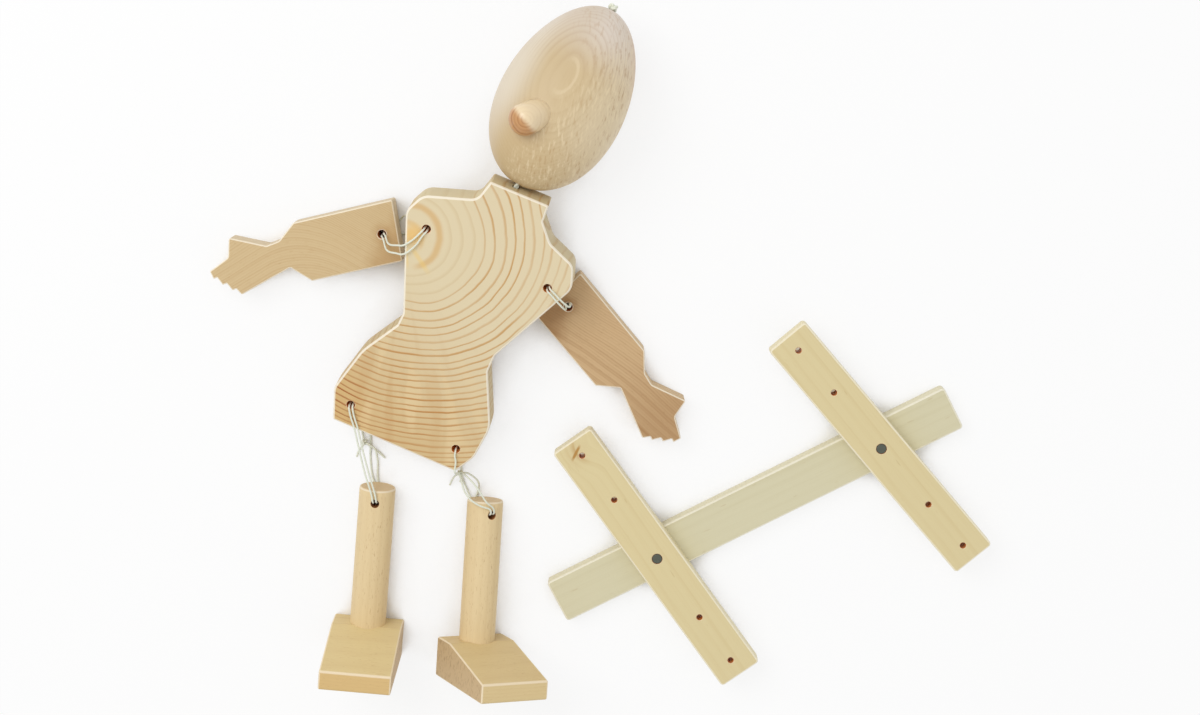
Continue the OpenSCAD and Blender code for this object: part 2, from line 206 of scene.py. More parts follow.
def rounded(outline, inset=0, steps=9):
    """An outline's corners rounded, the whole drawn in by the inset."""
    points = []
    for i, (x, y, r) in enumerate(outline):
        here = Vector((x, y))
        before, after = Vector(outline[i - 1][:2]), Vector(outline[(i + 1) % len(outline)][:2])
        back, ahead = (before - here).normalized(), (after - here).normalized()
        left_of_back, left_of_ahead = Vector((back.y, -back.x)), Vector((-ahead.y, ahead.x))
        turn_left = -back.x * ahead.y + back.y * ahead.x > 0
        here = here + (left_of_back + left_of_ahead) * inset / (1 + left_of_back.dot(left_of_ahead))
        r = max(r - inset, 0.02) if turn_left else r + inset
        half = acos(back.dot(ahead)) / 2
        centre = here + (back + ahead).normalized() * r / sin(half)
        start, end = here + back * r / tan(half), here + ahead * r / tan(half)
        for k in range(steps + 1):
            spoke = (start - centre) * (1 - k / steps) + (end - centre) * k / steps
            points.append(centre + spoke.normalized() * r)
    return points


def ring(bm, points, z):
    return [bm.verts.new((p[0], p[1], z)) for p in points]


def wall(bm, rings, smooth=True):
    """Quads between rings of the same number of points."""
    for low, high in zip(rings, rings[1:]):
        for k in range(len(low)):
            face = bm.faces.new((low[k - 1], low[k], high[k], high[k - 1]))
            face.smooth = smooth


def circle(x, y, r, sides=40):
    return [(x + r * cos(2 * pi * k / sides), y + r * sin(2 * pi * k / sides)) for k in range(sides)]


def eased_levels(thick, ease, steps=3):
    """Insets and heights up one side of a board whose edges are rounded over."""
    quarter = [(ease * (1 - sin(pi / 2 * k / steps)), ease * (1 - cos(pi / 2 * k / steps)))
               for k in range(steps + 1)]
    return quarter + [(inset, thick - z) for inset, z in reversed(quarter)]


def make_object(name, bm, place=None):
    """A finished mesh as an object at the origin, its place in its mesh."""
    bmesh.ops.remove_doubles(bm, verts=bm.verts, dist=1e-5)
    bmesh.ops.recalc_face_normals(bm, faces=bm.faces)
    if place:
        bm.transform(place)
        if place.determinant() < 0:
            bmesh.ops.reverse_faces(bm, faces=bm.faces)
    mesh = bpy.data.meshes.new(name)
    bm.to_mesh(mesh)
    bm.free()
    obj = bpy.data.objects.new(name, mesh)
    scene.collection.objects.link(obj)
    return obj


def board(name, outline, thick, ease, place, holes=(), hole_r=hole_d / 2, rim=0.25):
    """A board cut round an outline, with eased edges and drilled holes whose rims are eased too."""
    bm = bmesh.new()
    rings = [ring(bm, rounded(outline, inset), z) for inset, z in eased_levels(thick, ease)]
    wall(bm, rings)
    bottoms, tops = [rings[0]], [rings[-1]]
    for x, y, *own_r in holes:
        r = own_r[0] if own_r else hole_r
        bore = [ring(bm, circle(x, y, r + grow), z)
                for grow, z in ((rim, 0), (0, rim), (0, thick - rim), (rim, thick))]
        wall(bm, bore)
        bottoms.append(bore[0])
        tops.append(bore[-1])
    for faces_of in (bottoms, tops):
        edges = [e for loop in faces_of for a, b in zip(loop, loop[1:] + loop[:1])
                 for e in a.link_edges if e.other_vert(a) is b]
        flat = bmesh.ops.triangle_fill(bm, use_beauty=True, use_dissolve=False, edges=edges)
        for face in flat["geom"]:
            if isinstance(face, bmesh.types.BMFace):
                face.smooth = False
    for edge in bm.edges:
        faces = edge.link_faces
        if len(faces) == 2 and faces[0].smooth and faces[1].smooth:
            sizes = [f.calc_area() for f in faces]
            edge.smooth = edge.calc_face_angle(0) < radians(24) and max(sizes) < 60 * min(sizes)
    return make_object(name, bm, place)


def drill(obj, place, start, end, r):
    """Bores a round hole between two points of the piece's own frame."""
    bm = bmesh.new()
    along = Vector(end) - Vector(start)
    turn = along.to_track_quat("Z", "Y").to_matrix().to_4x4()
    rings = [ring(bm, circle(0, 0, r, 48), z) for z in (0, along.length)]
    wall(bm, rings)
    bm.faces.new(rings[1])
    bm.faces.new(rings[0][::-1])
    bit = make_object("bit", bm, place @ Matrix.Translation(start) @ turn)
    bore = obj.modifiers.new("bore", "BOOLEAN")
    bore.operation, bore.solver, bore.object = "DIFFERENCE", "EXACT", bit
    settle(obj)
    bpy.data.objects.remove(bit)
    bm = bmesh.new()
    bm.from_mesh(obj.data)
    for edge in bm.edges:
        if len(edge.link_faces) == 2 and edge.calc_face_angle(0) > radians(35):
            edge.smooth = False
    bm.to_mesh(obj.data)
    bm.free()


def settle(obj):
    """Turns what an object's modifiers make into its own plain mesh."""
    bpy.context.view_layer.update()
    depsgraph = bpy.context.evaluated_depsgraph_get()
    mesh = bpy.data.meshes.new_from_object(obj.evaluated_get(depsgraph))
    obj.modifiers.clear()
    old, obj.data = obj.data, mesh
    bpy.data.meshes.remove(old)
    mesh.name = obj.name


torso_place = placing(torso_pos, torso_turn)
torso = board("torso_board", torso_outline, torso_t, 0.9, torso_place,
              [left_shoulder, right_shoulder, left_hip, right_hip])
drill(torso, torso_place, (neck_hole[0], neck_hole[1] - neck_hole_l, torso_t / 2),
      (neck_hole[0], neck_hole[1] + 2, torso_t / 2), neck_hole_d / 2)


def shade(red, green, blue):
    """A colour read off as 0 to 255, as the linear one that a node takes."""
    return (*[((c / 255 + 0.055) / 1.055) ** 2.4 if c > 10 else c / 255 / 12.92 for c in (red, green,
        blue)], 1)


def own_frame(bench, pos, turn, roll=0, mirrored=False):
    """Where a point of the surface is in the piece's own frame, in millimetres, and its X, Y and Z."""
    spin = Euler([radians(a) for a in turn]).to_matrix() @ Euler((0, radians(roll), 0)).to_matrix()
    object_point = bench.node("ShaderNodeTexCoord", out="Object")
    point = bench.node("ShaderNodeMapping", {"vector_type": "TEXTURE"}, {
        "Vector": object_point, "Location": Vector(pos) * MM, "Rotation": spin.to_euler(),
        "Scale": (MM, -MM if mirrored else MM, MM)})
    x = bench.node("ShaderNodeSeparateXYZ", None, {0: point})
    return point, x, x.twin(1), x.twin(2)


def clouds(point, scale, detail=2.0, roughness=0.5):
    """Soft noise from 0 to 1, the scale in cycles to a millimetre."""
    return point.bench.node("ShaderNodeTexNoise", None, {
        "Vector": point, "Scale": scale, "Detail": detail, "Roughness": roughness})


def stretched(point, x, y, z):
    return point.bench.node("ShaderNodeVectorMath", {"operation": "MULTIPLY"}, {0: point, 1: (x, y, z)})


def paint(under, over, amount):
    """One colour laid over another."""
    return amount.bench.node("ShaderNodeMix", {"data_type": "RGBA"}, {0: amount, 6: under, 7: over}, out=2)


def zones(x, y, z, thick, ease, holes=(), hole_r=hole_d / 2):
    """On a board: its eased edges, its sides, and the walls of its holes."""
    height = (z - thick / 2).maths("ABSOLUTE")
    rounding = fade(height, thick / 2 - ease - 0.05, thick / 2 - ease + 0.05)
    edges = rounding * fade(height, thick / 2 - 0.01, thick / 2 - 0.06)
    nearest = None
    for hx, hy, *own_r in holes:
        gap = ((x - hx) * (x - hx) + (y - hy) * (y - hy)).maths("SQRT") - (own_r[0] if own_r else hole_r)
        nearest = gap if nearest is None else nearest.maths("MINIMUM", gap)
    walls = fade(nearest, 0.16, 0.04) if nearest is not None else None
    return edges, 1 - rounding, walls


def varnish(bench, colour, roughness, height, depth, coat=0.0, coat_roughness=0.3):
    """Ends a finish: a satin wood surface with a bump as deep as the depth, in millimetres."""
    bump = bench.node("ShaderNodeBump", None, {"Strength": 1.0, "Distance": depth * MM, "Height": height})
    shader = bench.node("ShaderNodeBsdfPrincipled", None, {
        "Base Color": colour, "Roughness": roughness, "Normal": bump, "Coat Weight": coat,
        "Coat Roughness": coat_roughness, "Specular IOR Level": 0.35})
    bench.node("ShaderNodeOutputMaterial", None, {"Surface": shader})


torso_finish, bench = new_finish("torso_softwood")
point, x, y, z = own_frame(bench, torso_pos, torso_turn)
pith, oval = (-28.2, 84.8), (0.71, 0.70)
across, up = x - pith[0] + 0.06 * z, y - pith[1]
from_pith = (across * across + up * up).maths("SQRT")
waver = (clouds(point, 0.045, 1.0) - 0.5) * 3.2 + (clouds(point, 0.2, 2.0) - 0.5) * 0.6
age = from_pith * 1.16 - 0.16 * (across * oval[0] + up * oval[1]) + waver
grown = age - 33.2
good_years = bench.node("ShaderNodeTexNoise", {"noise_dimensions": "1D"}, {"W": age, "Scale": 0.13,
    "Detail": 1.0})
rings_out = grown * 0.232 + grown * grown * 0.00083 + (good_years - 0.5) * 0.6
per_mm = 0.232 + grown * 0.00166
part = rings_out.maths("FRACT")
year = bench.node("ShaderNodeTexWhiteNoise", {"noise_dimensions": "1D"}, {"W": rings_out.maths("FLOOR")})
to_winter, since_winter = (1 - part) / per_mm, part / per_mm
latewood = (fade(to_winter, 1.15, 0.3) * (1 - fade(to_winter, 0.12, 0) * 0.4)).maths(
    "MAXIMUM", fade(since_winter, 0.2, 0) * 0.6)
soft_rings = fade(to_winter, 2.2, 0.4) * fade(to_winter, 0, 0.4)
clear_rings = fade(age, 27, 34)
low = fade(y * 0.9 + x * 0.35, 66, 0)
corner = fade(y * 0.8 + x, 2, -22)
patchy = clouds(point, 0.06, 2.0)
calm = 1 - 0.5 * fade(across, 46, 60) * fade(up, -25, -8)
line = latewood * (0.55 + 0.45 * year) * (0.45 + 0.95 * patchy) * clear_rings * calm
rays = bench.node("ShaderNodeCombineXYZ", None, {0: up.maths("ARCTAN2", across) * 9, 1: age * 0.02})
band = clouds(rays, 1.0, 1.0)
halo = fade((age - 14.6).maths("ABSOLUTE"), 2.4, 0.3) * fade(across + 0.6 * up, 0, 7)
inner_halo = fade((from_pith - 7).maths("ABSOLUTE"), 1.8, 0.3) * fade(up + across * 0.4, -1, 4)
out, off = across * 0.8 - up * 0.6, across * 0.6 + up * 0.8
streak = fade((off - 0.9 - 0.5 * waver).maths("ABSOLUTE"), 1.5, 0.3) * fade(out, 4, 7) * fade(out, 19, 13)
second_streak = fade((across * 0.89 + up * 0.45 - 0.2).maths("ABSOLUTE"), 1.1, 0.2) * fade(up, -2,
    -4) * fade(up, -12, -8)
colour = paint(shade(225, 209, 173), shade(214, 186, 136), low)
colour = paint(colour, shade(212, 190, 146), soft_rings * (1 - clear_rings) * fade(age, 14, 20) * 0.5)
colour = paint(colour, shade(233, 209, 162), fade(band, 0.52, 0.68) * low * 0.65)
colour = paint(colour, shade(198, 160, 108), fade(band, 0.48, 0.32) * low * 0.35)
colour = paint(colour, shade(214, 174, 112), halo * 0.7)
colour = paint(colour, shade(220, 184, 124), inner_halo * 0.55)
colour = paint(colour, shade(236, 202, 122), streak.maths("MAXIMUM", second_streak) * 0.5)
glow = ((across - 2.4) * (across - 2.4) + (up - 2.8) * (up - 2.8)).maths("SQRT")
colour = paint(colour, shade(236, 192, 114), fade(glow, 6.5, 1) * 0.8)
late = paint(shade(199, 153, 92), shade(187, 128, 66), low)
late = paint(late, shade(158, 84, 24), corner)
colour = paint(colour, shade(214, 172, 106), corner * 0.55)
colour = paint(colour, late, line)
edges, sides, walls = zones(x, y, z, torso_t, 0.9, [left_shoulder, right_shoulder, left_hip, right_hip])
# Painted shade: the torso's sides are darkened as if turned from the light.
colour = paint(colour, shade(194, 178, 134), sides * 0.4)
# Painted highlight: the eased edges are painted near white.
colour = paint(colour, shade(248, 240, 222), edges * 0.85)
colour = paint(colour, shade(226, 150, 78), walls)
varnish(bench, colour, 0.5 + 0.12 * patchy, line + 0.3 * clouds(point, 2.2, 3.0), 0.06)
torso.data.materials.clear()
torso.data.materials.append(torso_finish)
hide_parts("torso")
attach(torso, "torso")


# The arms: two beech slabs, cut alike and turned over for the left side, with a mitten hand and
# four stepped fingers. Each has one cord hole at the shoulder. The right one is the darker.
arm_t = 11.5
left_arm_pos, left_arm_turn = (-90, 49, 1.3), (0, 1, 192.9)
right_arm_pos, right_arm_turn = (-14.8, 19.3, 1.3), (0, 1, -50.6)
arm_outline = [
    (-5.5, -12.5, 0.8), (32.5, -12.3, 0.8), (39.8, -5, 1), (62, -11.5, 0.8), (63.6, -8.6, 0.3),
    (65.2, -8.9, 0.3), (66.8, -5.6, 0.3), (68.6, -5.8, 0.3), (70, -2.4, 0.3), (71.6, -2.6, 0.3),
    (72.3, 0.8, 0.5), (63.5, 4.6, 2), (61.2, 12.4, 0.8), (47, 5.8, 2), (41.5, 6.6, 3),
    (34, 12.5, 1.5), (-7.5, 12.7, 0.8)]


def beech_figure(bench, along, layers, across, spacing, wander=1.0):
    """Growth lines on the layers, short brown flecks and fine fibres, all running along the grain."""
    grain = bench.node("ShaderNodeCombineXYZ", None, {0: along, 1: layers, 2: across})
    waver = (clouds(stretched(grain, 0.5, 1, 1), 0.06, 1.0) - 0.5) * 3 * wander
    rings_out = (layers + waver + 90) / spacing
    year = bench.node("ShaderNodeTexWhiteNoise", {"noise_dimensions": "1D"}, {"W": rings_out.maths("FLOOR")})
    line = bench.node("ShaderNodeValToRGB", {"stops": [
        (0.0, 0.4), (1.0, 0.4), (0.15, 0.0), (0.45, 0.05), (0.75, 0.6), (0.9, 1.0)]},
        {0: rings_out.maths("FRACT")}) * (0.25 + 0.75 * year)
    flecks = fade(clouds(stretched(grain, 0.35, 2.4, 2.4), 1.0, 2.0, 0.6), 0.6, 0.72)
    fibres = clouds(stretched(grain, 0.12, 2.2, 2.2), 1.0, 3.0)
    return line, flecks, fibres


for side, pos, turn, mirrored, slot, tones, (slope, bend, streaks, tanned) in (
        ("left", left_arm_pos, left_arm_turn, True, "pale_arm",
         ((210, 185, 141), (184, 146, 96), (220, 202, 170)), (0.95, 1.3, 0.2, 0)),
        ("right", right_arm_pos, right_arm_turn, False, "dark_arm",
         ((205, 173, 130), (156, 112, 66), (216, 189, 145)), (0.33, 0.2, 0.9, 0.4))):
    place = placing(pos, turn, 0, mirrored)
    arm = board(side + "_arm_board", arm_outline, arm_t, 0.6, place, [(0, 0)], rim=0.45)
    face, dark, edge = [shade(*tone) for tone in tones]
    finish, bench = new_finish(side + "_arm_beech")
    point, x, y, z = own_frame(bench, pos, turn, 0, mirrored)
    bending = (x - 15).maths("MAXIMUM", 0).maths("MINIMUM", 35)
    layers = y - slope * x + bend * (bending * bending / 70 + (x - 50).maths("MAXIMUM", 0)) + 0.4 * z
    line, flecks, fibres = beech_figure(bench, x, layers, z, 1.15)
    broad, _, _ = beech_figure(bench, x, layers, z, 3.6)
    edges, sides, walls = zones(x, y, z, arm_t, 0.6, [(0, 0)])
    colour = paint(face, dark, line * (0.5 - 0.16 * streaks) + broad * fade(layers, 2, -10) * streaks * 0.75)
    colour = paint(colour, dark, flecks * 0.3 + (fibres - 0.5) * 0.5)
    patchy = clouds(point, 0.16, 2.0)
    # Darker round the cord hole and towards the shoulder end of the arm.
    darker_at_shoulder = fade(x + 0.9 * y + patchy * 8, 8, -4) + fade((x * x + y * y).maths("SQRT") + patchy * 5,
        8.5, 3.5) * 0.7
    colour = paint(colour, dark, darker_at_shoulder * 0.65 + fade(x, 28, 66) * tanned)
    colour = paint(colour, edge, sides * 0.7)
    # Painted highlight: the eased edges are painted near white.
    colour = paint(colour, shade(245, 234, 212), edges * 0.85)
    colour = paint(colour, shade(206, 130, 74), walls)
    varnish(bench, colour, 0.48 + 0.1 * fibres, line * 0.5 + fibres, 0.04)
    arm.data.materials.append(finish)
    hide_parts(side + "_arm")
    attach(arm, side + "_arm")


# The legs: lengths of beech dowel with a cord hole across the top, glued into wedge feet that are
# sawn from a bar. The right one lies rolled outwards.
leg_d, leg_l, ankle_l = 15, 59.5, 10
foot_w, foot_l, heel_h, toe_h, foot_flat = 29.5, 47.5, 16.5, 8, 13
leg_hole = (0, -5.5)
left_leg_pos, left_leg_turn = (-94.4, -57.2, 8.97), (1.1, 0, -5.3)
right_leg_pos, right_leg_turn = (-49.6, -63, 8), (-5.1, 0, -3.8)


def turned(name, profile, place, sides=64):
    """A piece turned on a lathe about its own Z, from radii and heights."""
    bm = bmesh.new()
    rings = [ring(bm, circle(0, 0, r, sides), z) for r, z in profile]
    wall(bm, rings)
    for end in (rings[0][::-1], rings[-1]):
        bm.faces.new(end).smooth = False
    for edge in bm.edges:
        edge.smooth = edge.calc_face_angle(0) < radians(38)
    return make_object(name, bm, place)


for side, pos, turn, roll, face, toe in (
        ("left", left_leg_pos, left_leg_turn, 0, (225, 203, 150), (216, 178, 116)),
        ("right", right_leg_pos, right_leg_turn, 27, (221, 197, 146), (221, 197, 146))):
    place = placing(pos, turn, roll)
    upright = place @ Matrix.Rotation(radians(90), 4, "X")
    r, ease = leg_d / 2, 0.7
    leg = turned(side + "_leg_dowel", [
        (r - ease, 0), (r - 0.3 * ease, 0.3 * ease), (r, ease), *[(r, 2.8 + 0.45 * i) for i in range(13)],
        (r, leg_l + ankle_l - 0.4), (r - 0.4, leg_l + ankle_l)], upright, 96)
    drill(leg, place, (leg_hole[0], leg_hole[1], -leg_d), (leg_hole[0], leg_hole[1], leg_d), hole_d / 2)
    finish, bench = new_finish(side + "_leg_beech")
    point, x, y, z = own_frame(bench, pos, turn, roll)
    layers = x + 0.35 * z + 0.012 * x * x
    line, flecks, fibres = beech_figure(bench, y, layers, z, 3.1, 0.5)
    gap = (x * x + (y - leg_hole[1]) * (y - leg_hole[1])).maths("SQRT")
    colour = paint(shade(228, 205, 160), shade(208, 178, 130), line * 0.3)
    colour = paint(colour, shade(178, 136, 88), flecks * 0.45 + (fibres - 0.5) * 0.3)
    top = fade(y, -0.9, -0.6)
    rim = top * fade(y, -0.02, -0.12)
    colour = paint(colour, shade(216, 186, 140), top * 0.7)
    # Painted highlight: a pale line round the eased rim of the dowel's top end.
    colour = paint(colour, shade(246, 234, 210), rim * 0.7)
    colour = paint(colour, shade(170, 112, 66), fade(gap, hole_d / 2 + 0.12, hole_d / 2 + 0.02))
    varnish(bench, colour, 0.46 + 0.1 * fibres, flecks * -0.6 + fibres, 0.03)
    leg.data.materials.clear()
    leg.data.materials.append(finish)
    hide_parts(side + "_leg")
    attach(leg, side + "_leg")

    heel = -leg_d / 2
    wedge = [(heel, 0, 1), (heel, -heel_h, 1), (heel + foot_l, -heel_h, 1),
             (heel + foot_l, toe_h - heel_h, 1), (heel + foot_flat, 0, 1)]
    stand = (Matrix.Translation((-foot_w / 2, -leg_l, 0)) @ Matrix.Rotation(pi, 4, "Z")
             @ Matrix.Rotation(-pi / 2, 4, "Y") @ Matrix.Diagonal((1, -1, 1, 1)))
    foot = board(side + "_foot_wedge", wedge, foot_w, 0.6, place @ stand)
    drill(foot, place, (0, -leg_l - ankle_l, 0), (0, -leg_l + 2, 0), leg_d / 2 + 0.03)
    finish, bench = new_finish(side + "_foot_beech")
    point, x, y, z = own_frame(bench, pos, turn, roll)
    layers = y + 0.4 * z
    line, flecks, fibres = beech_figure(bench, x, layers, z, 1.5, 0.5)
    edges, _, _ = zones(y, z, x + foot_w / 2, foot_w, 0.6)
    pores = fade(clouds(stretched(point, 1.2, 0.5, 1.6), 1.0, 2.0, 0.6), 0.52, 0.68)
    # The face tone is a little lighter on the left foot: painted light that lifts the leg's shadow on its slope.
    colour = paint(shade(*face), shade(*toe), fade(z, heel + foot_l - 0.5, heel + foot_l - 0.1) * 0.7)
    colour = paint(colour, shade(198, 164, 113), line * 0.26)
    colour = paint(colour, shade(184, 145, 94), flecks * 0.35 + (fibres - 0.5) * 0.35)
    end_grain = paint(shade(200, 172, 130), shade(158, 124, 88), pores * 0.7)
    on_ends = fade((x.maths("ABSOLUTE")), foot_w / 2 - 0.08, foot_w / 2 - 0.02)
    colour = paint(colour, end_grain, on_ends * 0.9)
    toe_up, toe_out = y + leg_l + heel_h - toe_h, z - heel - foot_l
    # Painted highlight: pale lines along the eased edges and the toe's front edge.
    toe_edge_highlight = fade((toe_up * toe_up + toe_out * toe_out).maths("SQRT"), 0.95, 0.5)
    colour = paint(colour, shade(244, 228, 200), edges.maths("MAXIMUM", toe_edge_highlight) * 0.75)
    varnish(bench, colour, 0.48 + 0.1 * fibres, flecks * -0.5 + fibres, 0.03)
    foot.data.materials.clear()
    foot.data.materials.append(finish)
    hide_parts(side + "_foot")
    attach(foot, side + "_leg")


# The head: a beech egg turned on a lathe and bored from neck to crown for its cord, with a peg
# nose glued into a blind hole. It has no painted face.
head_l, head_d, head_egg = 78, 50.4, 0.09
head_pos, head_turn = (-15.6, 104.75, 25.21), (-99, 0, -28.9)
nose_d, nose_l, nose_bury = 12.5, 9, 10
nose_base, nose_dir = Vector((-8, -22.7, -15)), Vector((-0.47, -0.61, -0.64))
head_place = placing(head_pos, head_turn)
bore_r = neck_hole_d / 2
mouth, crown_end = acos(neck_hole_d / head_d / (1 + head_egg)), acos(neck_hole_d / head_d / (1 - head_egg))
slices = 96
bm = bmesh.new()
side_line = [(head_d / 2 * cos(a) * (1 - head_egg * sin(a)), head_l / 2 * sin(a))
             for a in [-mouth + i * (mouth + crown_end) / slices for i in range(slices + 1)]]
shell = [ring(bm, circle(0, 0, r, 128), z) for r, z in side_line]
wall(bm, shell)
wall(bm, [shell[-1], shell[0]])
for edge in bm.edges:
    edge.smooth = edge.calc_face_angle(0) < radians(40)
head = make_object("head_egg", bm, head_place)
nose_line = nose_dir.normalized()
drill(head, head_place, nose_base - nose_line * (nose_bury + 0.5), nose_base + nose_line * 8,
    nose_d / 2 + 0.03)

finish, bench = new_finish("head_beech")
point, x, y, z = own_frame(bench, head_pos, head_turn)
heart = Vector((-0.17, -0.975, 0.14))
depth = x * heart.x + y * heart.y + z * heart.z
layers = depth - 0.006 * (x + 4) * (x + 4)
line, flecks, fibres = beech_figure(bench, z, layers, x, 1.3, 0.7)
stroke = bench.node("ShaderNodeCombineXYZ", None, {
    0: (z * 0.94 - x * 0.34) * 0.22, 1: (x * 0.94 + z * 0.34) * 0.95, 2: y * 0.3})
ripple = clouds(stroke, 1.0, 2.0, 0.6)
lower_right = fade(x - z * 0.3, -6, 13) * (0.4 + 1.2 * clouds(point, 0.07, 1.0))
dashes, gleams = fade(ripple, 0.55, 0.7) * lower_right, fade(ripple, 0.46, 0.34) * lower_right
right = x * 0.875 + z * 0.48
arch = fade((layers - 24.7).maths("ABSOLUTE"), 0.17, 0.04) * fade(x, -7, -2) * fade(z, -14, 2)
colour = paint(shade(213, 192, 154), shade(186, 158, 116), line * 0.3)
colour = paint(colour, shade(180, 144, 100), flecks * 0.12 + (fibres - 0.5) * 0.4)
colour = paint(colour, shade(212, 184, 136), fade(depth, 20, 26) * 0.3)
# Painted light: the crown is painted paler and greyer, as where the light falls.
colour = paint(colour, shade(230, 220, 212), fade(z, 8, 30) * 0.75)
colour = paint(colour, shade(186, 164, 126), fade(x, 4, -9) * fade(x, -23, -14) * 0.35)
# Painted light: the left side is painted paler and greyer, as where the light falls.
colour = paint(colour, shade(226, 218, 204), fade(x, -11, -22) * 0.6)
# Painted light: the right side is lightened to lift the lamps' shading there; the arch is a pale growth ring.
colour = paint(colour, shade(240, 222, 188), fade(x, 3, 21) * 0.55 + arch * 0.28)
colour = paint(colour, shade(196, 150, 112), fade(right, 23.5, 30) * fade(z, -4, 12) * 0.6)
colour = paint(colour, shade(198, 168, 116), fade(z, -8, -30) * 0.4)
colour = paint(colour, shade(188, 156, 122), line * fade(z, 2, 14) * 0.3)
colour = paint(colour, shade(192, 158, 120), fade(ripple, 0.52, 0.66) * fade(z, 6, 20) * fade(right,
    -2, 12) * 0.3)
colour = paint(colour, shade(180, 138, 88), dashes * 0.42)
colour = paint(colour, shade(238, 220, 184), gleams * 0.45)
colour = paint(colour, shade(150, 96, 56), fade((x * x + y * y).maths("SQRT"), bore_r + 0.1, bore_r))
varnish(bench, colour, 0.42 + 0.12 * fibres, dashes * -0.6 + fibres, 0.03, 0.12)
head.data.materials.clear()
head.data.materials.append(finish)
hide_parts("head")
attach(head, "head")

tip_r, r = 5, nose_d / 2
nose_turn = nose_dir.to_track_quat("Z", "Y").to_matrix().to_4x4()
nose_place = head_place @ Matrix.Translation(nose_base - nose_line * nose_bury) @ nose_turn
top = nose_bury + nose_l
round_tip = [(r - tip_r + tip_r * cos(a), top - tip_r + tip_r * sin(a)) for a in [pi / 2 * k / 12 for k in range(13)]]
nose = turned("nose_peg", [(r - 0.4, 0), (r, 0.4)] + round_tip + [(0.8, top + 0.25)], nose_place, 72)
for polygon in nose.data.polygons:
    polygon.use_smooth = True
finish, bench = new_finish("nose_beech")
head_spin = Euler([radians(a) for a in head_turn]).to_matrix()
nose_spin = (head_spin @ nose_dir.to_track_quat("Z", "Y").to_matrix()).to_euler()
nose_foot = head_place @ (nose_base - nose_line * nose_bury)
object_point = bench.node("ShaderNodeTexCoord", out="Object")
point = bench.node("ShaderNodeMapping", {"vector_type": "TEXTURE"}, {
    "Vector": object_point, "Location": nose_foot, "Rotation": nose_spin, "Scale": (MM, MM, MM)})
x = bench.node("ShaderNodeSeparateXYZ", None, {0: point})
y, z = x.twin(1), x.twin(2)
up_local = nose_spin.to_matrix().transposed() @ Vector((0, 0, 1))
eye = Vector((0, 0, nose_bury + 2.5))
offset = bench.node("ShaderNodeVectorMath", {"operation": "SUBTRACT"}, {0: point, 1: eye})
height = bench.node("ShaderNodeVectorMath", {"operation": "DOT_PRODUCT"}, {0: offset, 1: up_local},
    out="Value")
reach = bench.node("ShaderNodeVectorMath", {"operation": "LENGTH"}, {0: offset}, out="Value")
layers = (reach * reach - height * height).maths("SQRT") + (clouds(point, 0.12, 1.0) - 0.5) * 2
line, flecks, fibres = beech_figure(bench, x * 0.3, layers, y * 0.3, 1.35, 0.2)
lower_left = bench.node("ShaderNodeVectorMath", {"operation": "DOT_PRODUCT"}, {
    0: offset, 1: nose_spin.to_matrix().transposed() @ Vector((-0.75, -0.66, 0))}, out="Value")
end = fade(lower_left, -0.6, 2.2)
colour = paint(shade(236, 214, 176), shade(206, 172, 126), line * 0.25)
colour = paint(colour, shade(192, 136, 76), end * 0.9)
colour = paint(colour, shade(150, 86, 34), line * end * 0.85 + flecks * 0.1)
varnish(bench, colour, 0.3 + 0.1 * fibres, fibres, 0.02, 0.5, 0.14)
nose.data.materials.append(finish)
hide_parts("nose")
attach(nose, "head")


# The ties: each limb hangs on one cotton cord that goes twice through its own hole and the
# torso's, with its two ends knotted. The routes are the part's own, point for point.
cord_d, knot_d, strand = 0.8, 3.0, 0.72
left_arm_place = placing(left_arm_pos, left_arm_turn, 0, True)
right_arm_place = placing(right_arm_pos, right_arm_turn)
left_leg_place = placing(left_leg_pos, left_leg_turn)
right_leg_place = placing(right_leg_pos, right_leg_turn, 27)


def on(place, *points):
    """Points of a piece's own frame in the row frame, both in millimetres."""
    return [place @ Vector(p) / MM for p in points]


def beside(hole, d, off, side, z):
    d = radians(d)
    return (hole[0] + off * cos(d) - side * sin(d), hole[1] + off * sin(d) + side * cos(d), z)


def through(place, hole, z0, z1, a, b, side, flat_back=False, flat_front=True):
    """A strand's way through a board's hole, from its back at z0 to its front at z1."""
    way = [beside(hole, a, 2.3, side, z0 - 0.75)] if flat_back else []
    way += [beside(hole, a, off, side, z0 + z) for off, z in ((1.15, -0.7), (0.45, 0.5), (0.35, 2))]
    way += [beside(hole, b, off, side, z1 + z) for off, z in ((0.35, -2), (0.45, -0.5), (1.15, 0.7))]
    way += [beside(hole, b, 2.3, side, z1 + 0.85)] if flat_front else []
    return on(place, *way)


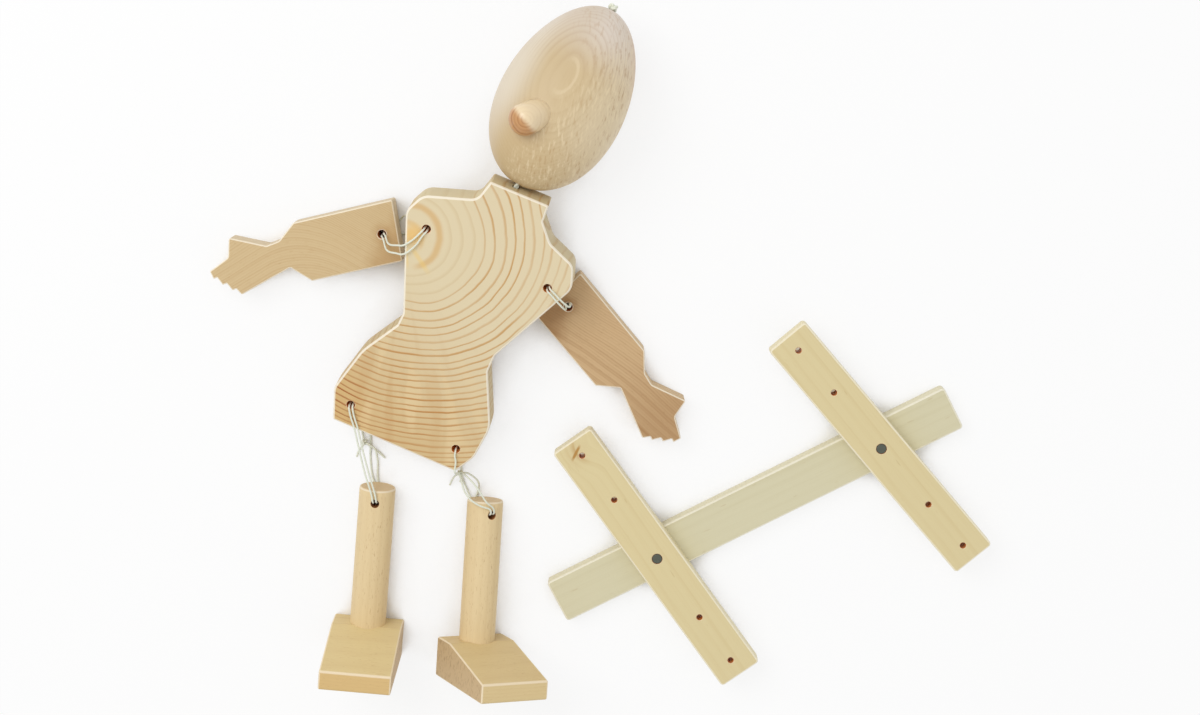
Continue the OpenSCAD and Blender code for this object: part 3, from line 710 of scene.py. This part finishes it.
left_shoulder_pass = [through(torso_place, left_shoulder, 0, torso_t, -150, -112, s) for s in (strand,
    -strand)]
left_arm_pass = [through(left_arm_place, (0, 0), 0, arm_t, 178, -125, s, True,
    False) for s in (-strand, strand)]
left_shoulder_knot_at = Vector((-77, 51.5, 8.5))
left_shoulder_route = [
    left_shoulder_knot_at + Vector((0.8, 0.2, 0.8)), (-73.6, 53, 13.8),
    *left_shoulder_pass[0],
    *on(torso_place, (-23.6, 84.6, 14.9), (-27.2, 78.6, 14.9), (-29.6, 77.2, 12.6)), (-87.6, 43.6, 20),
    *left_arm_pass[1][::-1],
    (-86.5, 48.4, 0.6), (-83.2, 47.5, 0.6), (-81, 48.3, 2), (-77.5, 50.2, 3), (-74.4, 53.4, 6), (-73,
    56.6, 12),
    *left_shoulder_pass[1],
    *on(torso_place, (-25.8, 85.6, 14.9), (-28.3, 82.2, 14.9), (-30.4, 80.6, 13)), (-87, 46.3, 20),
    *left_arm_pass[0][::-1],
    (-86, 51.5, 0.6), (-83.6, 53.8, 0.8), (-82, 55.4, 4), (-79.6, 55.8, 8),
    left_shoulder_knot_at + Vector((-0.4, 0.9, 0.4))]
left_shoulder_tails = [[(-76.5, 50.5, 6), (-75.5, 48, 2.5), (-74, 45, 0.6)],
                       [(-78.5, 53, 6), (-80, 54.5, 2.5), (-79, 58, 0.6)]]

right_shoulder_pass = [through(torso_place, right_shoulder, 0, torso_t, -40, -20, s) for s in (strand,
    -strand)]
right_arm_pass = [through(right_arm_place, (0, 0), 0, arm_t, 170, 145, s, True,
    False) for s in (-strand, strand)]
right_shoulder_knot_at = Vector((-22.6, 26.6, 9))
right_shoulder_route = [
    right_shoulder_knot_at + Vector((-0.2, 0.8, 0.8)), (-23, 29.6, 13.4),
    *right_shoulder_pass[1],
    *on(torso_place, (37.2, 86, 15), (40, 84.4, 13.8)), (-15.6, 20.8, 19),
    *right_arm_pass[1][::-1],
    (-20.2, 23, 0.6), (-22, 25.6, 1.6), (-21, 28.6, 3.4), (-19.6, 31, 8), (-19.8, 32, 13),
    *right_shoulder_pass[0],
    *on(torso_place, (37.4, 87.6, 15), (40.7, 86, 13.8)), (-13.6, 21.6, 19),
    *right_arm_pass[0][::-1],
    (-18.8, 24.6, 0.55), (-19, 26.4, 3), right_shoulder_knot_at + Vector((0.9, 0.2, -0.4))]
right_shoulder_tails = [[(-24, 28.5, 5), (-26, 30.5, 2), (-29, 31.5, 0.6)],
                        [(-24.5, 26, 5), (-27, 25.5, 2), (-30, 26, 0.6)]]

left_hip_pass = [through(torso_place, left_hip, 0, torso_t, -60, -60, s, True) for s in (strand, -strand)]
left_leg_pass = [through(left_leg_place, leg_hole, -leg_d / 2, leg_d / 2, 100, 100, s, True)
                 for s in (-strand, strand)]
left_hip_knot_at = Vector((-100.4, -39.8, 1.8))
left_hip_route = [
    left_hip_knot_at + Vector((-0.3, 0.9, -0.4)), (-101.4, -35.5, 0.55), (-101.8, -32, 0.58), (-102.2,
    -28.8, 0.62),
    *left_hip_pass[1],
    (-102.6, -31, 16.6), (-101.2, -38, 16.7), (-98.6, -50, 17),
    *left_leg_pass[1][::-1],
    (-97.2, -56, 0.6), (-98.2, -47, 0.55), (-98, -36.5, 0.55), (-98.6, -33.4, 0.58), (-99.5, -29.9, 0.62),
    *left_hip_pass[0],
    (-101.2, -31, 16.6), (-99.8, -38, 16.7), (-97, -50, 17),
    *left_leg_pass[0][::-1],
    (-95.2, -56, 0.6), (-95.2, -47.5, 0.8), (-96.2, -42.6, 2), left_hip_knot_at + Vector((0.9, -0.3, 0.4))]
left_hip_tails = [[(-98.6, -41, 2.2), (-95.5, -43.5, 1.2), (-92, -47, 0.6)],
                  [(-100.8, -41, 2), (-102.5, -43, 1), (-104, -46.5, 0.6)]]

right_hip_pass = through(torso_place, right_hip, 0, torso_t, -75, -75, 0, True)
right_leg_pass = [through(right_leg_place, leg_hole, -leg_d / 2, leg_d / 2, 112, 100, s, True)
                  for s in (-strand, strand)]
right_hip_knot_at = Vector((-60, -51.4, 9))
right_hip_route = [
    right_hip_knot_at + Vector((-0.6, 0.9, 0.5)), (-60.5, -50.3, 13.6),
    *on(torso_place, (27.5, -0.2, 14.9), (25.6, 5, 14.9)),
    *right_hip_pass[::-1],
    (-60, -46.4, 0.65), (-60, -50, 0.6), (-60, -54, 0.62), (-57.6, -61, 0.8),
    *right_leg_pass[1],
    (-51, -63.6, 17.2), (-55, -61.4, 16), (-57.6, -58.4, 14.5), (-59.2, -54.6, 11.5),
    right_hip_knot_at + Vector((0.2, -0.8, -0.2)),
    (-58, -51.8, 7), (-55, -53.6, 5.4), (-52.8, -56.6, 3.4), (-52.8, -60.6, 1.2), (-54, -64, 0.8),
    *right_leg_pass[0],
    (-48.6, -62, 17.2), (-52.5, -56.4, 15.2), (-57, -52.4, 11.4), right_hip_knot_at + Vector((0.6, 0.6, 0.6))]
right_hip_tails = [[(-61, -52.2, 8), (-63, -54.5, 4), (-65, -58.6, 0.8)],
                   [(-59.6, -52.4, 7.6), (-59.4, -54.6, 5.5), (-60.4, -56.4, 4)]]


def smooth_line(route, step):
    """A smooth line through a route's points, cut into short steps."""
    p = [Vector(q) for q in route]
    headings = [(p[1] - p[0]).normalized()]
    for before, here, after in zip(p, p[1:], p[2:]):
        g, h = (here - before).length, (after - here).length
        headings.append(((here - before) * h / g + (after - here) * g / h) / (g + h))
    headings.append((p[-1] - p[-2]).normalized())
    line = []
    for i in range(len(p) - 1):
        h = (p[i + 1] - p[i]).length
        n = max(1, round(h / step))
        for k in range(n):
            t = k / n
            line.append(p[i] * (2 * t ** 3 - 3 * t * t + 1) + h * headings[i] * (t ** 3 - 2 * t * t + t)
                        + p[i + 1] * (3 * t * t - 2 * t ** 3) + h * headings[i + 1] * (t ** 3 - t * t))
    return line + [p[-1]]


def laid_cord_tree():
    """Geometry Nodes that lay a cord of twisted strands along every line of a mesh."""
    tree = bpy.data.node_groups.new("laid_cord", "GeometryNodeTree")
    tree.is_modifier = True
    tree.interface.new_socket("Geometry", in_out="OUTPUT", socket_type="NodeSocketGeometry")
    tree.interface.new_socket("Geometry", in_out="INPUT", socket_type="NodeSocketGeometry")
    for name, kind in (("Diameter", "Float"), ("Lay", "Float"), ("Strands", "Float"), ("Furrow", "Float"),
                       ("Step", "Float"), ("Sides", "Int"), ("Finish", "Material")):
        tree.interface.new_socket(name, in_out="INPUT", socket_type="NodeSocket" + kind)
    bench = Bench(tree)
    given = bench.node("NodeGroupInput", out="Geometry")
    line = bench.node("GeometryNodeMeshToCurve", None, {"Mesh": given})
    line = bench.node("GeometryNodeResampleCurve", {"mode": "LENGTH"}, {"Curve": line,
        "Length": given.twin("Step")})
    line = bench.node("GeometryNodeCaptureAttribute", {"captures": [("FLOAT", "Along")]}, {
        "Geometry": line, "Along": bench.node("GeometryNodeSplineParameter", out="Length")})
    section = bench.node("GeometryNodeCurvePrimitiveCircle", None, {
        "Resolution": given.twin("Sides"), "Radius": given.twin("Diameter") / 2})
    section = bench.node("GeometryNodeCaptureAttribute", {"captures": [("FLOAT", "Around")]}, {
        "Geometry": section, "Around": bench.node("GeometryNodeSplineParameter", out="Factor")})
    tube = bench.node("GeometryNodeCurveToMesh", None, {
        "Curve": line, "Profile Curve": section, "Fill Caps": True})
    turns = section.twin("Around") - line.twin("Along") / given.twin("Lay")
    furrow = 1 - (turns * given.twin("Strands") * pi).maths("COSINE").maths("ABSOLUTE")
    sunk = bench.node("ShaderNodeVectorMath", {"operation": "SCALE"}, {
        0: bench.node("GeometryNodeInputNormal"), "Scale": furrow * given.twin("Furrow") * -1})
    tube = bench.node("GeometryNodeStoreNamedAttribute", {"data_type": "FLOAT", "domain": "POINT"}, {
        "Geometry": tube, "Name": "furrow", "Value": furrow})
    tube = bench.node("GeometryNodeSetPosition", None, {"Geometry": tube, "Offset": sunk})
    tube = bench.node("GeometryNodeSetShadeSmooth", None, {0: tube})
    tube = bench.node("GeometryNodeRealizeInstances", None, {0: tube})
    tube = bench.node("GeometryNodeSetMaterial", None, {"Geometry": tube, "Material": given.twin("Finish")})
    bench.node("NodeGroupOutput", None, {0: tube})
    return tree


cord_finish, bench = new_finish("cotton_cord")
furrow = bench.node("ShaderNodeAttribute", {"attribute_name": "furrow"}, out="Fac")
point = stretched(bench.node("ShaderNodeTexCoord", out="Object"), 1 / MM, 1 / MM, 1 / MM)
fluff = clouds(point, 2.5, 3.0)
colour = paint(shade(243, 245, 232), shade(222, 226, 208), fluff)
# Painted shade: the furrows between the strands are darkened.
colour = paint(colour, shade(184, 187, 164), furrow * furrow * 0.7)
varnish(bench, colour, 0.75 + 0.15 * fluff, fluff, 0.03)

cord_tree = laid_cord_tree()


def lay_cord(name, lines, diameter, strands, lay, furrow, closed=(), sides=18, step=0.36):
    """Makes a cord along some lines of points, in millimetres."""
    points, pairs = [], []
    for i, line in enumerate(lines):
        first = len(points)
        points += [Vector(p) * MM for p in line]
        pairs += [(k, k + 1) for k in range(first, len(points) - 1)]
        if i in closed:
            pairs.append((len(points) - 1, first))
    mesh = bpy.data.meshes.new(name)
    mesh.from_pydata(points, pairs, [])
    obj = bpy.data.objects.new(name, mesh)
    scene.collection.objects.link(obj)
    twist = obj.modifiers.new("laid_cord", "NODES")
    twist.node_group = cord_tree
    sizes = {"Diameter": diameter * MM, "Lay": lay * MM, "Strands": float(strands), "Furrow": furrow * MM,
             "Step": step * MM, "Sides": sides, "Finish": cord_finish}
    for item in cord_tree.interface.items_tree:
        if item.in_out == "INPUT" and item.name in sizes:
            twist[item.identifier] = sizes[item.name]
    settle(obj)
    return obj


def overhand(at, size, cord, turn):
    """The closed line of a pulled-tight overhand knot."""
    spin = Euler(turn).to_matrix()
    reach = (size - cord) / 2 / 3
    return [Vector(at) + spin @ Vector((sin(t) + 2 * sin(2 * t), cos(t) - 2 * cos(2 * t),
        -1.5 * sin(3 * t))) * reach
            for t in [2 * pi * k / 90 for k in range(90)]]


for name, body, route, knot_at, tails, start, end in (
        ("left_shoulder", "left_shoulder_tie", left_shoulder_route, left_shoulder_knot_at,
        left_shoulder_tails,
         (-29, 84, 12), (-38, 82, 8)),
        ("right_shoulder", "right_shoulder_tie", right_shoulder_route, right_shoulder_knot_at,
        right_shoulder_tails,
         (35, 88, 12), (42, 85, 8)),
        ("left_hip", "left_hip_tie", left_hip_route, left_hip_knot_at, left_hip_tails,
         (-22, 3, 8), (-22, -6, 8)),
        ("right_hip", "right_hip_tie", right_hip_route, right_hip_knot_at, right_hip_tails,
         (25, 4, 8), (25, -5, 8))):
    line = smooth_line(route, 0.4)
    cord = lay_cord(name + "_tie", [line], cord_d, 3, 2.6, 0.08)
    tail_lines = [smooth_line([knot_at + 0.3 * (Vector(tail[0]) - knot_at), *tail], 0.4) for tail in tails]
    knot = lay_cord(name + "_tied_knot", [overhand(knot_at, knot_d, cord_d, (0.6, 0.9, 0.3)), *tail_lines],
                    cord_d, 3, 2.6, 0.08, closed=(0,))
    length = sum((b - a).length for a, b in zip(line, line[1:])) * MM
    path = [p * MM for p in line]
    start, end = [p * MM for p in on(torso_place, start, end)]
    for piece, node in ((cord, name + "_cord"), (knot, name + "_knot")):
        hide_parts(node)
        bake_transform(piece)


# The neck cord: a doubled cotton cord, glued into the neck and drawn through the head, with a
# stopper knot on the crown that holds the head on.
neck_cord_d, neck_knot_d, knot_gap = 2.0, 4.4, 0.06
nx, ny, nz = neck_hole[0], neck_hole[1], torso_t / 2
neck_route = [
    *on(torso_place, (nx, ny - neck_hole_l + 0.5, nz), (nx, ny - 5, nz), (nx, ny - 0.5, nz)),
    *on(head_place, (0, 0, -head_l / 2 + 1.5), (0, 0, -head_l / 2 + 6), (0, 0, 0), (0, 0, head_l / 2 - 1.5))]
line = smooth_line(neck_route, 0.5)
cord = lay_cord("neck_tie", [line], neck_cord_d, 2, 9, 0.45, step=0.5)
rise = side_line[-1][1]
rise += ((neck_knot_d / 2) ** 2 - (neck_hole_d / 2) ** 2) ** 0.5 + knot_gap
crown = on(head_place, (0, 0, rise))[0]
crown_turn = (head_spin @ Euler((0, 0, 0.4)).to_matrix()).to_euler()
knot = lay_cord("crown_knot", [overhand(crown, neck_knot_d, 1.35, crown_turn)], 1.35, 3, 4, 0.1, closed=(0,))
length = sum((b - a).length for a, b in zip(line, line[1:])) * MM
path = [p * MM for p in line]
start, end = [p * MM for p in on(torso_place, (nx, ny - 1.5, nz), (nx, ny + 4, nz))]
for piece, node in ((cord, "neck_cord"), (knot, "neck_knot")):
    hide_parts(node)
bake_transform(cord)
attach(knot, "head")


# The control: a long flat bar and two crossbars of pale planed wood with eased edges. Each
# crossbar turns on a steel pin that is pressed into the bar, and has four string holes.
bar_w, bar_t, main_l, cross_l = 19, 8, 185, 123
pin_d, string_hole_d, pivot_gap = 4.2, 2.5, 0.06
control_pos, control_turn = (-19.8, -107.9, 0), 27
pin_places, cross_turns, string_holes = (47, 150.5), (-54.8, -49.7), (31, 54)
control_place = placing(control_pos, (0, 0, control_turn))
half = bar_w / 2


def plain_bar(name, length, start, place, holes):
    corner_r = 1.5
    outline = [(start, -half, corner_r), (start + length, -half, corner_r),
               (start + length, half, corner_r), (start, half, corner_r)]
    return board(name, outline, bar_t, 0.8, place, holes)


def bar_finish(name, pos, turn, tones, holes, knot=None):
    """Planed pale wood: lengthwise grain, a few short dark marks, and a painted highlight on the eased edges."""
    finish, bench = new_finish(name)
    point, x, y, z = own_frame(bench, pos, turn)
    face, grain, side, edge = [shade(*tone) for tone in tones]
    layers = y + 0.02 * x + 0.5 * z + 40 * len(holes)
    if knot:
        off = ((x - knot[0]) * (x - knot[0]) * 0.6 + (y - knot[1]) * (y - knot[1])).maths("SQRT")
        layers = layers + fade(off, 12, 0) * 6
    line, flecks, fibres = beech_figure(bench, x * 0.4, layers, z, 4.2, 0.6)
    marks = fade(clouds(stretched(point, 0.16, 0.9, 0.9), 1.0, 1.0), 0.71, 0.8)
    colour = paint(face, grain, line * 0.3 + (fibres - 0.5) * 0.5)
    colour = paint(colour, shade(178, 148, 92), marks * 0.25)
    if knot:
        streak = fade(((x - knot[0]) * 0.88 + (y - knot[1]) * 0.47).maths("ABSOLUTE"), 0.8,
            0.2) * fade(off, 4.2, 1.5)
        colour = paint(colour, shade(182, 136, 70), streak + fade(off, 7, 1) * (0.1 + 0.5 * line))
    edges, sides, walls = zones(x, y, z, bar_t, 0.8, holes)
    colour = paint(colour, side, sides * 0.8)
    # Painted highlight: the eased edges are painted pale.
    colour = paint(colour, edge, edges * 0.8)
    colour = paint(colour, shade(214, 138, 66), walls)
    varnish(bench, colour, 0.45 + 0.1 * fibres, fibres + line * 0.4, 0.03)
    return finish


main_holes = [(x, 0, pin_d / 2) for x in pin_places]
bar = plain_bar("main_bar", main_l, 0, control_place, main_holes)
bar.data.materials.append(bar_finish(
    "main_bar_wood", control_pos, (0, 0, control_turn),
    ((216, 209, 176), (200, 190, 150), (228, 221, 191), (242, 237, 218)), main_holes))
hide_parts("control_bar")
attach(bar, "control")

for i, name in enumerate(("front", "rear")):
    spot = control_place @ Vector((pin_places[i], 0, bar_t)) / MM
    place = placing(spot, (0, 0, cross_turns[i]))
    holes = [(s * x, 0, string_hole_d / 2) for x in string_holes for s in (-1, 1)]
    holes.append((0, 0, pin_d / 2 + pivot_gap))
    bar = plain_bar(name + "_cross_bar", cross_l, -cross_l / 2, place, holes)
    bar.data.materials.append(bar_finish(
        name + "_cross_bar_wood", spot, (0, 0, cross_turns[i]),
        ((222, 206, 159), (204, 180, 126), (236, 226, 190), (246, 238, 214)), holes,
        (-56.4, -1.4) if i == 0 else None))
    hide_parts(name + "_crossbar")
    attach(bar, name + "_crossbar")

    finish, bench = new_finish(name + "_pin_steel")
    point, x, y, z = own_frame(bench, spot, (0, 0, 0))
    radius = (x * x + y * y).maths("SQRT")
    turning = clouds(radius * 5, 1.0, 2.0)
    brushed = clouds(stretched(point, 6, 0.7, 1), 1.0, 3.0)
    colour = paint(shade(100, 104, 94), shade(72, 76, 66), brushed)
    bump = bench.node("ShaderNodeBump", None, {"Strength": 0.6, "Distance": 0.03 * MM,
        "Height": brushed + turning})
    shader = bench.node("ShaderNodeBsdfPrincipled", None, {
        "Base Color": colour, "Metallic": 0.6, "Roughness": 0.5 + 0.2 * brushed, "Normal": bump})
    bench.node("ShaderNodeOutputMaterial", None, {"Surface": shader})
    r, foot, top = pin_d / 2, 0.5 - bar_t, bar_t
    pin = turned(name + "_steel_pin", [
        (r - 0.3, foot), (r, foot + 0.3), (r, top - 0.35), (r - 0.1, top - 0.12), (r - 0.35, top)], place, 48)
    pin.data.materials.append(finish)
    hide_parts(name + "_pin")
    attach(pin, "control")
